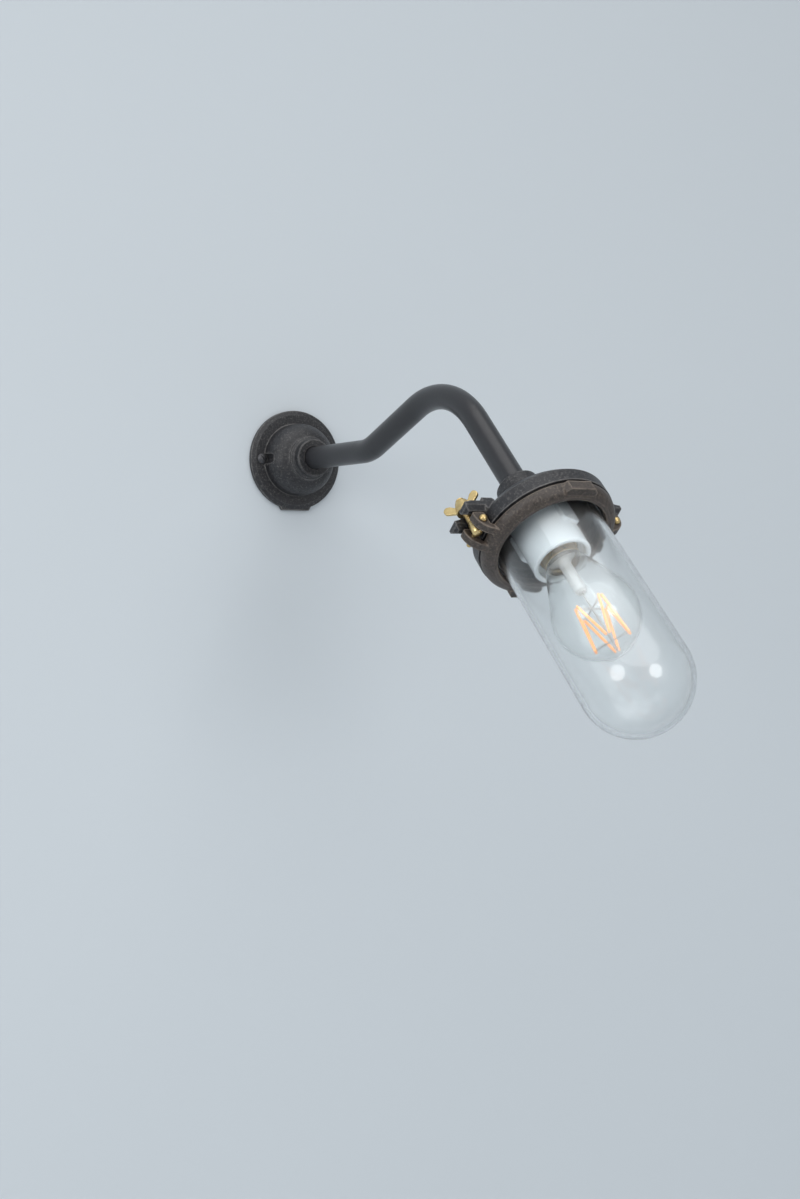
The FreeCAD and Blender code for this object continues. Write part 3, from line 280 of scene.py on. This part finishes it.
class Finish:
    """One procedural material while its nodes are laid."""

    def __init__(self, name):
        self.material = bpy.data.materials.new(name)
        self.material.use_nodes = True
        self.tree = self.material.node_tree
        self.tree.nodes.clear()
        self.end = self.tree.nodes.new("ShaderNodeOutputMaterial")

    def add(self, kind, choices=None, sockets=None, out=0):
        """Add one node: its choices first, then the values or links of its sockets."""
        node = self.tree.nodes.new(kind)
        for name, value in (choices or {}).items():
            if name == "stops":
                node.color_ramp.elements[0].position, node.color_ramp.elements[1].position = value
            else:
                setattr(node, name, value)
        for name, value in (sockets or {}).items():
            if isinstance(value, Signal):
                self.tree.links.new(value.socket, node.inputs[name])
            else:
                node.inputs[name].default_value = value
        return Signal(self, node.outputs[out])

    def place(self):
        """Position in the object's own metres."""
        return self.add("ShaderNodeTexCoord", out="Object")

    def noise(self, spacing, detail=3.0, roughness=0.55, where=None):
        """Noise whose features are about spacing metres apart, from 0 to 1."""
        return self.add("ShaderNodeTexNoise", {}, {"Vector": where or self.place(), "Scale": 0.5 / spacing,
                                                   "Detail": detail, "Roughness": roughness}, out="Fac")

    def between(self, signal, low, high):
        """0 below low, 1 above high."""
        return self.add("ShaderNodeValToRGB", {"stops": (low, high)}, {"Fac": signal})

    def blend(self, amount, first, second):
        """Colour that runs from first to second."""
        first, second = [c if isinstance(c, Signal) else (*c, 1.0) for c in (first, second)]
        return self.add("ShaderNodeMix", {"data_type": "RGBA"}, {0: amount, 6: first, 7: second}, out=2)

    def rounded(self, radius):
        """The surface's normal with its edges softened."""
        return self.add("ShaderNodeBevel", {"samples": 6}, {"Radius": radius})

    def edges(self, rounded, strength):
        """Mask of the edges, from how far softening turns the normal."""
        plain = self.add("ShaderNodeNewGeometry", out="Normal")
        alike = self.add("ShaderNodeVectorMath", {"operation": "DOT_PRODUCT"}, {0: rounded, 1: plain}, out=1)
        return ((1.0 - alike) * strength).clamped()

    def bump(self, height, distance, normal=None):
        """The surface's normal, or the given one, tilted by a height."""
        sockets = {"Height": height, "Distance": distance, "Strength": 1.0}
        if normal:
            sockets["Normal"] = normal
        return self.add("ShaderNodeBump", {}, sockets)

    def surface(self, **sockets):
        """Principled surface; words in socket names are joined with underscores."""
        named = {name.replace("_", " "): value for name, value in sockets.items()}
        return self.add("ShaderNodeBsdfPrincipled", {}, named, out="BSDF")

    def done(self, surface):
        self.tree.links.new(surface.socket, self.end.inputs["Surface"])
        return self.material


def settings():
    """The sconce's settings in this scene."""
    return bpy.context.scene.sconce


def dress(node, material):
    """Give a CAD node its finish."""
    for slot in frame["nodes"][node].material_slots:
        slot.material = material


# ---- finishes --------------------------------------------------------------------------------
def cast_iron(name, base, rubbed_and_highlighted, edge_wear_and_highlight):
    """Sand-cast iron under paint or patina that is worn off its edges and the crests of its grain. The
    lighter edges and crests are partly a painted highlight, and the darkened pits are a painted shade.
    """
    look = settings().castings
    f = Finish(name)
    soft = f.rounded(look.edge)
    grain = f.noise(look.grain, detail=5.0, roughness=0.66)
    cloud = f.noise(spacing=0.012, detail=4.0, roughness=0.6)
    pits = f.between(f.noise(look.grain * 1.7, detail=2.0, roughness=0.5), low=0.54, high=0.70)
    crests = f.between(grain, low=0.52, high=0.66)
    edge_patches = f.between(f.noise(spacing=0.004), low=0.25, high=0.60)
    # Edges lightened in patches: worn finish and a painted highlight along the edges.
    lighter_edges = (f.edges(f.rounded(look.edge * 2.0), edge_wear_and_highlight) * edge_patches).clamped()
    # The third colour is a painted shade for the pits of the grain.
    darker, lighter, pit_shade_colour = [[c * level for c in base] for level in (0.82, 1.22, 0.25)]
    dusty = f.blend(f.between(cloud, low=0.35, high=0.75), darker, lighter)
    # Painted shade in the pits of the grain.
    pit_shaded = f.blend(pits * look.pit_shade, dusty, pit_shade_colour)
    # Painted highlight on the crests of the grain, in the worn-edge colour.
    highlighted_crests = f.blend(crests * look.crest_highlight, pit_shaded, rubbed_and_highlighted)
    # The edges get the lighter colour: worn finish and a painted highlight.
    paint = f.blend(lighter_edges, highlighted_crests, rubbed_and_highlighted)
    rough = look.roughness + grain.about_middle(0.30) - lighter_edges * 0.10
    height = grain + cloud * 0.7 - pits * 0.5
    normal = f.bump(height, look.relief, soft)
    return f.done(f.surface(Base_Color=paint, Roughness=rough.clamped(), Normal=normal))


def powder_coat():
    look = settings().tube
    f = Finish("powder_coat")
    peel = f.noise(look.ripple, detail=1.5, roughness=0.4)
    cloud = f.noise(spacing=0.03)
    shade = f.blend(cloud, [c * 0.92 for c in look.coat], [c * 1.08 for c in look.coat])
    rough = look.roughness + cloud.about_middle(0.10) + peel.about_middle(0.05)
    normal = f.bump(peel, distance=0.00004)
    return f.done(f.surface(Base_Color=shade, Roughness=rough.clamped(), Normal=normal))


def brass(name, dull):
    """Handled brass; dull is the share of tarnish that lies on it everywhere."""
    look = settings().brass
    f = Finish(name)
    soft = f.rounded(radius=0.0003)
    cloud = f.between(f.noise(spacing=0.0035, detail=4.0, roughness=0.6), low=0.34, high=0.70)
    scratch = f.add("ShaderNodeMapping", {}, {"Vector": f.place(), "Rotation": (0.4, 0.9, 0.2),
                                              "Scale": (9.0, 1.0, 1.0)})
    lines = f.noise(spacing=0.0016, detail=3.0, roughness=0.7, where=scratch)
    lighter_edges = f.edges(soft, strength=3.0)
    dulled = (cloud * 0.55 + dull - lighter_edges).clamped()
    metal = f.blend(dulled, look.bright, look.tarnish)
    rough = look.roughness + dulled * 0.22 + lines.about_middle(0.12)
    normal = f.bump(lines + cloud * 0.4, distance=0.00003, normal=soft)
    return f.done(f.surface(Base_Color=metal, Metallic=1.0, Roughness=rough.clamped(), Normal=normal))


def plated(name, base, rough, metallic=1.0):
    """Plated or smooth dark surface with fine lines in it."""
    f = Finish(name)
    soft = f.rounded(radius=0.0002)
    cloud = f.noise(spacing=0.005, detail=4.0, roughness=0.6)
    lines = f.noise(spacing=0.0009, detail=3.0, roughness=0.7)
    tone = f.blend(cloud, [c * 0.80 for c in base], [min(1.0, c * 1.12) for c in base])
    level = rough + cloud.about_middle(0.18) + lines.about_middle(0.08)
    normal = f.bump(lines, distance=0.00002, normal=soft)
    return f.done(f.surface(Base_Color=tone, Metallic=metallic, Roughness=level.clamped(), Normal=normal))


def rubber():
    look = settings().fixings
    f = Finish("gasket_rubber")
    cloud = f.noise(spacing=0.004, detail=4.0)
    fine = f.noise(spacing=0.0006, detail=2.0)
    tone = f.blend(cloud, look.rubber, look.chalky)
    rough = 0.62 + fine * 0.2
    normal = f.bump(fine, distance=0.00003)
    return f.done(f.surface(Base_Color=tone, Roughness=rough.clamped(), Normal=normal))


def porcelain():
    look = settings().holder
    f = Finish("glazed_porcelain")
    soft = f.rounded(radius=0.0007)
    wave = f.noise(spacing=0.006, detail=2.0, roughness=0.4)
    specks = f.between(f.noise(spacing=0.0011, detail=2.0, roughness=0.5), low=0.66, high=0.74)
    cloud = f.noise(spacing=0.02)
    body = f.blend(cloud, [c * 0.965 for c in look.glaze], [min(1.0, c * 1.02) for c in look.glaze])
    glaze = f.blend(specks * 0.35, body, look.speck)
    rough = 0.16 + cloud.about_middle(0.08)
    normal = f.bump(wave, distance=0.00012, normal=soft)
    return f.done(f.surface(Base_Color=glaze, Roughness=rough.clamped(), Coat_Weight=0.35,
                            Coat_Roughness=0.06, Normal=normal))


def clear_glass(name, rough=0.0, ripple=0.00002, spacing=0.012, clear=1.0):
    """Glass whose sharp reflection is faint, under a soft bloom like that of old blown glass."""
    look = settings().glass
    f = Finish(name)
    wave = f.noise(spacing, detail=1.0, roughness=0.4)
    body = f.surface(Base_Color=(*look.tint, 1.0), Roughness=rough, IOR=look.index, Specular_IOR_Level=0.10,
                     Transmission_Weight=clear, Coat_Weight=look.bloom, Coat_Roughness=0.38,
                     Normal=f.bump(wave, ripple))
    through = f.add("ShaderNodeBsdfTransparent", {}, {"Color": (look.shade, look.shade, look.shade, 1.0)},
                    out="BSDF")
    shadow = f.add("ShaderNodeLightPath", out="Is Shadow Ray")
    return f.done(f.add("ShaderNodeMixShader", {}, {0: shadow, 1: body, 2: through}, out="Shader"))


def phosphor():
    look = settings().bulb
    f = Finish("filament_phosphor_painted_glow")
    beads = f.between(f.noise(spacing=0.0010, detail=2.0), low=0.35, high=0.65)
    tone = f.blend(beads, look.phosphor, [c * 0.86 for c in look.phosphor])
    grit = f.noise(spacing=0.0003, detail=2.0)
    rough = 0.6 + grit * 0.25
    # The emission is a painted glow; the bulb is unlit.
    return f.done(f.surface(Base_Color=tone, Roughness=rough.clamped(), Emission_Color=tone,
                            Emission_Strength=look.painted_glow, Normal=f.bump(grit, distance=0.00003)))


# ---- mesh helpers ----------------------------------------------------------------------------
def new_object(name, mesh, material):
    """Link a mesh to the scene under one material."""
    item = bpy.data.objects.new(name, mesh)
    bpy.context.scene.collection.objects.link(item)
    mesh.materials.clear()
    mesh.materials.append(material)
    return item


def soften(shape, limit):
    """Smooth shading with sharp edges where faces meet at more than the limit in degrees."""
    for face in shape.faces:
        face.smooth = True
    for edge in shape.edges:
        if len(edge.link_faces) == 2:
            edge.smooth = edge.calc_face_angle() < math.radians(limit)


def rolled(name, place, outline, material, pitch=0.0, depth=0.0, threads=(), closed=False, ridge=1.0):
    """Turn (radius, height) points about the place's Z axis. Between the two heights of threads the
    surface carries a helical thread that is cut inward; ridge sharpens its crests. The last point of a
    closed outline joins its first, which makes a wall round a hollow."""
    sides = settings().sides
    points = []
    pairs = list(zip(outline, outline[1:] + outline[:1])) if closed else list(zip(outline, outline[1:]))
    for start, end in pairs:
        low, high = min(start[1], end[1]), max(start[1], end[1])
        inside = threads and low >= threads[0] - TINY and high <= threads[1] + TINY
        count = max(1, round(abs(end[1] - start[1]) / (pitch / STEPS_PER_PITCH))) if inside else 1
        points += [tuple(a + (b - a) * i / count for a, b in zip(start, end)) for i in range(count)]
    if not closed:
        points.append(outline[-1])
    shape = bmesh.new()
    rings = []
    for radius, height in points:
        if radius < TINY:
            rings.append([shape.verts.new((0.0, 0.0, height))])
            continue
        ring = []
        for i in range(sides):
            turn = 2 * math.pi * i / sides
            cut = 0.0
            if threads and threads[0] <= height <= threads[1]:
                fade = min(height - threads[0], threads[1] - height) / (pitch * 0.5)
                wave = 0.5 - 0.5 * math.cos(2 * math.pi * height / pitch - turn)
                cut = depth * wave ** ridge * min(1.0, fade)
            reach = radius - cut
            ring.append(shape.verts.new((reach * math.cos(turn), reach * math.sin(turn), height)))
        rings.append(ring)
    joins = list(zip(rings, rings[1:] + rings[:1])) if closed else list(zip(rings, rings[1:]))
    for low, high in joins:
        for i in range(sides):
            j = (i + 1) % sides
            corners = [low[0]] if len(low) == 1 else [low[i], low[j]]
            corners += [high[0]] if len(high) == 1 else [high[j], high[i]]
            if len(corners) > 2:
                shape.faces.new(corners)
    bmesh.ops.recalc_face_normals(shape, faces=shape.faces)
    soften(shape, limit=50.0)
    shape.transform(place)
    mesh = bpy.data.meshes.new(name)
    shape.to_mesh(mesh)
    shape.free()
    return new_object(name, mesh, material)


def millimetres(points):
    """Outline points in metres, from millimetres."""
    return [(radius / 1000.0, height / 1000.0) for radius, height in points]


def quarter(radius, height, steps=24):
    """(radius, height) points of a quarter circle, from its side at that height round to the axis."""
    turns = [math.pi / 2 * i / steps for i in range(steps + 1)]
    return [(radius * math.cos(turn), height + radius * math.sin(turn)) for turn in turns]


def applied(item):
    """Replace an object's mesh by the one its modifiers make."""
    bpy.context.view_layer.update()
    seen = item.evaluated_get(bpy.context.evaluated_depsgraph_get())
    mesh = bpy.data.meshes.new_from_object(seen)
    item.modifiers.clear()
    item.data = mesh
    return item


def recast(name, node, voxel, smoothing, material):
    """Copy a CAD node as a casting: its corners and joins run together as poured metal does."""
    item = new_object(name, frame["nodes"][node].data.copy(), material)
    weld = item.modifiers.new("weld", "WELD")
    weld.merge_threshold = 0.00001
    mesh = item.modifiers.new("remesh", "REMESH")
    mesh.mode = "VOXEL"
    mesh.voxel_size = voxel
    mesh.use_smooth_shade = True
    smooth = item.modifiers.new("smooth", "SMOOTH")
    smooth.factor = 0.5
    smooth.iterations = smoothing
    return applied(item)


# ---- operators, one for each piece or group of like pieces -----------------------------------
class SCONCE_OT_castings(bpy.types.Operator):
    """Paint the rose and the cap, and give the clamp ring its brown patina"""
    bl_idname = "sconce.castings"
    bl_label = "Castings"

    def execute(self, context):
        look = settings().castings
        paint = cast_iron("painted_casting", look.paint, look.rubbed_and_highlighted, look.paint_wear_and_highlight)
        dress("wall_rose", paint)
        dress("cap_casting", paint)
        patina = cast_iron("patina_casting", look.patina, look.patina_worn_and_highlighted, look.patina_wear_and_highlight)
        dress("clamp_ring", patina)
        return {"FINISHED"}


class SCONCE_OT_arm(bpy.types.Operator):
    """Coat the bent tube"""
    bl_idname = "sconce.arm"
    bl_label = "Arm tube"

    def execute(self, context):
        dress("arm_tube", powder_coat())
        return {"FINISHED"}


class SCONCE_OT_fixings(bpy.types.Operator):
    """Finish the screws, lock nuts, pins, washers and gaskets"""
    bl_idname = "sconce.fixings"
    bl_label = "Fixings"

    def execute(self, context):
        look = settings().fixings
        dress("wall_screws", plated("blackened_screw", look.blackened, rough=0.42, metallic=0.6))
        zinc = plated("zinc_plate", look.zinc, rough=0.34)
        for node in ("rose_locknut", "cap_locknut", "holder_strap", "strap_screws", "holder_screws"):
            dress(node, zinc)
        pins = brass("pin_brass", dull=0.15)
        for node in ("hinge_pin_left", "hinge_pin_right", "washer_left", "washer_right"):
            dress(node, pins)
        seal = rubber()
        dress("gasket_upper", seal)
        dress("gasket_lower", seal)
        return {"FINISHED"}


def clamp_place(side):
    """Frame on a swing bolt's axis: origin on the hinge pin, Z towards the wing nut."""
    hinge = JOINTS["swing_bolt_%s_hinge" % side]
    lift = Vector(JOINTS["washer_%s_lift" % side]["axis"])
    across = Vector((1.0, 0.0, 0.0))
    turned = Matrix((across, lift.cross(across), lift)).transposed().to_4x4()
    return Matrix.Translation(hinge["pos_m"]) @ turned


class SCONCE_OT_swing_bolts(bpy.types.Operator):
    """Cut the thread on both swing bolts"""
    bl_idname = "sconce.swing_bolts"
    bl_label = "Swing bolts"

    def execute(self, context):
        look = settings().brass
        metal = brass("bolt_brass", dull=0.05)
        for side in ("left", "right"):
            shank = rolled("bolt_thread_" + side, clamp_place(side), millimetres(BOLT_OUTLINE), metal,
                           look.bolt_pitch, look.bolt_depth, BOLT_THREAD, ridge=1.4)
            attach(shank, "bolt_" + side)
            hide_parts("swing_bolt_" + side)
        return {"FINISHED"}


class SCONCE_OT_wing_nuts(bpy.types.Operator):
    """Cast both wing nuts"""
    bl_idname = "sconce.wing_nuts"
    bl_label = "Wing nuts"

    def execute(self, context):
        metal = brass("nut_brass", dull=0.0)
        voxel = settings().brass.nut_voxel
        for side in ("left", "right"):
            nut = recast("wing_nut_cast_" + side, "wing_nut_" + side, voxel, smoothing=6, material=metal)
            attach(nut, "nut_" + side)
            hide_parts("wing_nut_" + side)
        return {"FINISHED"}


class SCONCE_OT_lampholder(bpy.types.Operator):
    """Glaze the porcelain and roll the thread of the screw shell"""
    bl_idname = "sconce.lampholder"
    bl_label = "Lampholder"

    def execute(self, context):
        look = settings().holder
        dress("holder_body", porcelain())
        metal = brass("shell_brass", dull=0.10)
        dress("holder_contact", metal)
        dress("holder_terminals", metal)
        shell = rolled("screw_shell", HEAD, millimetres(SHELL_OUTLINE), metal, look.shell_pitch,
                       look.shell_depth, SHELL_THREAD, closed=True)
        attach(shell, "fixture")
        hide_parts("holder_shell")
        return {"FINISHED"}


class SCONCE_OT_dome(bpy.types.Operator):
    """Blow the clear dome as one smooth surface"""
    bl_idname = "sconce.dome"
    bl_label = "Glass dome"

    def execute(self, context):
        outline = millimetres(FLANGE_OUTLINE)
        outline += quarter(DOME_OUTSIDE, DOME_END) + quarter(DOME_INSIDE, DOME_END)[::-1]
        glass = clear_glass("dome_glass", rough=0.07, ripple=0.00006)
        dome = rolled("blown_dome", HEAD, outline, glass, closed=True)
        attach(dome, "fixture")
        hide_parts("glass_dome")
        return {"FINISHED"}


class SCONCE_OT_bulb(bpy.types.Operator):
    """Make the bulb's glass, stem, filaments and threaded cap"""
    bl_idname = "sconce.bulb"
    bl_label = "Bulb"

    def execute(self, context):
        look = settings().bulb
        dress("bulb_glass", clear_glass("bulb_glass"))
        # The stem is pressed glass, which is cloudier than blown glass.
        dress("bulb_stem", clear_glass("stem_glass", rough=0.30, ripple=0.00010, spacing=0.003, clear=0.80))
        dress("bulb_filaments", phosphor())
        dress("bulb_wires", plated("support_wire", look.wire, rough=0.35))
        dress("bulb_tip", plated("solder", look.solder, rough=0.40))
        dress("bulb_insulator", plated("black_glass", look.black_glass, rough=0.12, metallic=0.0))
        metal = plated("cap_nickel", look.cap_metal, rough=0.30)
        cap = rolled("screw_cap", HEAD, millimetres(CAP_OUTLINE), metal, look.cap_pitch, look.cap_depth,
                     CAP_THREAD, closed=True)
        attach(cap, "bulb")
        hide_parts("bulb_cap")
        return {"FINISHED"}


class SCONCE_OT_stage(bpy.types.Operator):
    """Set up the wall, the floor, the lamps, the sky and the camera"""
    bl_idname = "sconce.stage"
    bl_label = "Stage"

    def execute(self, context):
        look = settings().stage
        upright = Matrix.Translation((0.0, WALL_GAP, WALL_MIDDLE)) @ Matrix.Rotation(math.pi / 2, 4, "X")
        wall = flat("wall", WALL_WIDTH, WALL_HEIGHT, upright, matt("wall_paint", look.wall))
        below = Matrix.Translation((0.0, -FLOOR_DEPTH / 2, -FLOOR_DROP))
        ground = flat("floor", WALL_WIDTH, FLOOR_DEPTH, below, matt("floor_paint", look.floor))
        lamp("key", "SUN", look.key, look.key_place).angle = look.key_spread
        disc(lamp("fill", "AREA", look.fill, look.fill_place), look.fill_size)
        disc(lamp("front", "AREA", look.front, look.front_place), look.front_size)
        sky(look)
        self.camera(look)
        return {"FINISHED"}

    def camera(self, look):
        """Stand the camera where the photo was taken from."""
        data = bpy.data.cameras.new("camera")
        data.sensor_width = 36.0
        data.lens = look.lens
        item = bpy.data.objects.new("camera", data)
        bpy.context.scene.collection.objects.link(item)
        turn, tilt = look.azimuth, look.elevation
        right = Vector((math.cos(turn), math.sin(turn), 0.0))
        back = Vector((math.sin(turn) * math.cos(tilt), -math.cos(turn) * math.cos(tilt), math.sin(tilt)))
        aim = Matrix((right, back.cross(right), back)).transposed().to_4x4()
        item.matrix_world = Matrix.Translation(look.place) @ aim
        bpy.context.scene.camera = item


def flat(name, width, depth, place, material):
    """Level rectangle that faces up before it is placed."""
    x, y = width / 2, depth / 2
    mesh = bpy.data.meshes.new(name)
    mesh.from_pydata([(-x, -y, 0), (x, -y, 0), (x, y, 0), (-x, y, 0)], [], [(0, 1, 2, 3)])
    mesh.transform(place)
    return new_object(name, mesh, material)


def matt(name, tone):
    """Plain paint that is seen from its front only, so that the part can be looked at from behind."""
    f = Finish(name)
    cloud = f.noise(spacing=0.35, detail=2.0, roughness=0.4)
    paint = f.blend(cloud, [c * 0.985 for c in tone], [c * 1.015 for c in tone])
    body = f.surface(Base_Color=paint, Roughness=0.9, Specular_IOR_Level=0.1)
    through = f.add("ShaderNodeBsdfTransparent", out="BSDF")
    behind = f.add("ShaderNodeNewGeometry", out="Backfacing")
    return f.done(f.add("ShaderNodeMixShader", {}, {0: behind, 1: body, 2: through}, out="Shader"))


def lamp(name, kind, power, place):
    """Lamp aimed at the middle of the part."""
    data = bpy.data.lights.new(name, kind)
    data.energy = power
    item = bpy.data.objects.new(name, data)
    bpy.context.scene.collection.objects.link(item)
    item.location = place
    aim = (CAD_BOX[0] + CAD_BOX[1]) / 2
    item.rotation_euler = (aim - Vector(place)).to_track_quat("-Z", "Y").to_euler()
    item.visible_camera = False
    return data


def disc(data, size):
    """Make an area lamp round, so that glass mirrors it as a soft spot."""
    data.shape = "DISK"
    data.size = size


def sky(look):
    """Even light all round, seen by the camera and in the glass as the wall's colour."""
    world = bpy.data.worlds.new("sky")
    bpy.context.scene.world = world
    world.use_nodes = True
    nodes, links = world.node_tree.nodes, world.node_tree.links
    nodes.clear()
    path = nodes.new("ShaderNodeLightPath")
    seen = nodes.new("ShaderNodeMath")
    seen.operation = "MAXIMUM"
    links.new(path.outputs["Is Camera Ray"], seen.inputs[0])
    links.new(path.outputs["Is Transmission Ray"], seen.inputs[1])
    light = nodes.new("ShaderNodeBackground")
    light.inputs["Color"].default_value = (*look.sky_tint, 1.0)
    light.inputs["Strength"].default_value = look.sky
    picture = nodes.new("ShaderNodeBackground")
    picture.inputs["Color"].default_value = (*look.wall, 1.0)
    mix = nodes.new("ShaderNodeMixShader")
    links.new(seen.outputs[0], mix.inputs[0])
    links.new(light.outputs[0], mix.inputs[1])
    links.new(picture.outputs[0], mix.inputs[2])
    end = nodes.new("ShaderNodeOutputWorld")
    links.new(mix.outputs[0], end.inputs["Surface"])


class SCONCE_PT_panel(bpy.types.Panel):
    """Lists the pieces of the sconce"""
    bl_idname = "SCONCE_PT_panel"
    bl_label = "Gooseneck sconce"
    bl_space_type = "VIEW_3D"
    bl_region_type = "UI"
    bl_category = "Sconce"

    def draw(self, context):
        for group, operator in (("stage", "stage"), ("castings", "castings"), ("tube", "arm"),
                                ("brass", "swing_bolts"), ("fixings", "fixings"),
                                ("holder", "lampholder"), ("glass", "dome"), ("bulb", "bulb")):
            box = self.layout.box()
            box.operator("sconce." + operator)
            chosen = getattr(context.scene.sconce, group)
            for name in chosen.bl_rna.properties.keys():
                if name not in ("rna_type", "name"):
                    box.prop(chosen, name)
        self.layout.operator("sconce.wing_nuts")
        self.layout.prop(context.scene.sconce, "sides")


GROUPS = (SCONCE_PG_castings, SCONCE_PG_tube, SCONCE_PG_brass, SCONCE_PG_fixings, SCONCE_PG_holder,
          SCONCE_PG_glass, SCONCE_PG_bulb, SCONCE_PG_stage, SCONCE_PG_all)
OPERATORS = (SCONCE_OT_stage, SCONCE_OT_castings, SCONCE_OT_arm, SCONCE_OT_fixings, SCONCE_OT_swing_bolts,
             SCONCE_OT_wing_nuts, SCONCE_OT_lampholder, SCONCE_OT_dome, SCONCE_OT_bulb)


def register():
    for item in GROUPS + OPERATORS + (SCONCE_PT_panel,):
        bpy.utils.register_class(item)
    bpy.types.Scene.sconce = PointerProperty(type=SCONCE_PG_all, name="Sconce", description="Sconce settings")


def unregister():
    del bpy.types.Scene.sconce
    for item in reversed(GROUPS + OPERATORS + (SCONCE_PT_panel,)):
        bpy.utils.unregister_class(item)


def main():
    register()
    bpy.context.scene.view_settings.view_transform = "Standard"
    for operator in OPERATORS:
        result = getattr(bpy.ops.sconce, operator.bl_idname.split(".")[1])()
        if result != {"FINISHED"}:
            raise RuntimeError(operator.bl_label + " did not finish")


if __name__ == "__main__":
    main()
